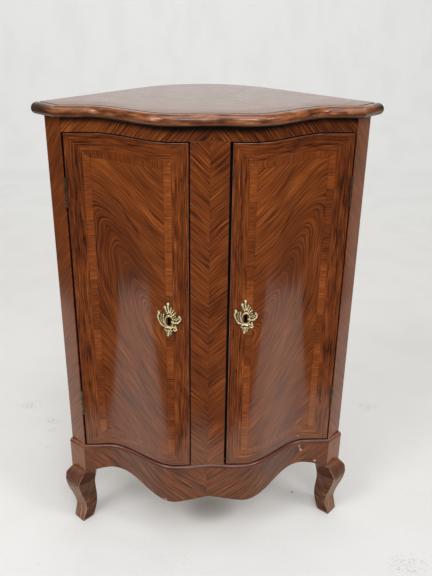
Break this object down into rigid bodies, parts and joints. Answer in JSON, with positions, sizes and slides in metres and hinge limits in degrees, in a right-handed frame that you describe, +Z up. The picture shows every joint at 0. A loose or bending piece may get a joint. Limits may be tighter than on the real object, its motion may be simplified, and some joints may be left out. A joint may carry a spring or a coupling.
{
  "type": "corner cupboard",
  "caption": "Bow-fronted corner cupboard on cabriole feet, with veneered doors either side of a centre stile, shelves, cut hinges and locks behind gilt escutcheons.",
  "frame": {"origin": "bottom centre of the bounding box, on the floor under the middle of the cupboard", "axes": "+Z up; the doors face -Y; +X to the right when facing the doors, so the two walls run back towards +Y"},
  "size_m": [0.613, 0.3546, 0.9],
  "materials": {
    "door_veneer": "glossy polished kingwood veneer",
    "frame_veneer": "glossy polished kingwood veneer",
    "top_veneer": "polished veneer with a pale sheen",
    "moulding_wood": "polished solid wood",
    "leg_wood": "worn polished solid wood",
    "carcass_wood": "bare planed softwood",
    "gilt_brass": "worn gilt casting",
    "hinge_brass": "dull tarnished brass",
    "lock_iron": "dark forged iron"
  },
  "bodies": {
    "carcass": {"top_panel": "top_veneer", "top_moulding_front": "moulding_wood", "top_moulding_left": "moulding_wood", "top_moulding_right": "moulding_wood", "base_moulding_front": "moulding_wood", "base_moulding_left": "moulding_wood", "base_moulding_right": "moulding_wood", "frieze_rail": "frame_veneer", "centre_stile": "frame_veneer", "apron_rail": "frame_veneer", "left_corner_stile": "frame_veneer", "right_corner_stile": "frame_veneer", "centre_stile_core": "carcass_wood", "centre_stile_stop": "carcass_wood", "back_corner_board": "carcass_wood", "bottom_board": "carcass_wood", "lower_shelf": "carcass_wood", "upper_shelf": "carcass_wood", "left_wall_board": "carcass_wood", "right_wall_board": "carcass_wood", "apron_block_left": "carcass_wood", "apron_block_right": "carcass_wood", "bottom_batten_left": "carcass_wood", "bottom_batten_right": "carcass_wood", "lower_shelf_batten_left": "carcass_wood", "lower_shelf_batten_right": "carcass_wood", "upper_shelf_batten_left": "carcass_wood", "upper_shelf_batten_right": "carcass_wood", "top_batten_left": "carcass_wood", "top_batten_right": "carcass_wood", "left_front_leg": "leg_wood", "right_front_leg": "leg_wood", "back_foot": "leg_wood", "left_upper_hinge_frame_leaf": "hinge_brass", "left_upper_hinge_pin": "hinge_brass", "left_lower_hinge_frame_leaf": "hinge_brass", "left_lower_hinge_pin": "hinge_brass", "right_upper_hinge_frame_leaf": "hinge_brass", "right_upper_hinge_pin": "hinge_brass", "right_lower_hinge_frame_leaf": "hinge_brass", "right_lower_hinge_pin": "hinge_brass"},
    "left_door": {"left_door_panel": "door_veneer", "left_escutcheon": "gilt_brass", "left_lock_case": "lock_iron", "left_lock_cover": "lock_iron", "left_upper_hinge_door_leaf": "hinge_brass", "left_lower_hinge_door_leaf": "hinge_brass"},
    "left_lock_bolt": {"left_lock_bolt": "lock_iron"},
    "right_door": {"right_door_panel": "door_veneer", "right_escutcheon": "gilt_brass", "right_lock_case": "lock_iron", "right_lock_cover": "lock_iron", "right_upper_hinge_door_leaf": "hinge_brass", "right_lower_hinge_door_leaf": "hinge_brass"},
    "right_lock_bolt": {"right_lock_bolt": "lock_iron"}
  },
  "joints": [
    {"name": "left_door_hinge", "type": "hinge", "parent": "carcass", "child": "left_door", "pos_m": [-0.2537, -0.08672, 0.5295], "axis": [0, 0, -1], "range_deg": [0, 125]},
    {"name": "right_door_hinge", "type": "hinge", "parent": "carcass", "child": "right_door", "pos_m": [0.2548, -0.08672, 0.5295], "axis": [0, 0, 1], "range_deg": [0, 125]},
    {"name": "left_lock_throw", "type": "slide", "parent": "left_door", "child": "left_lock_bolt", "axis": [1, 0, 0], "range_m": [0, 0.009]},
    {"name": "right_lock_throw", "type": "slide", "parent": "right_door", "child": "right_lock_bolt", "axis": [-1, 0, 0], "range_m": [0, 0.009]}
  ]
}
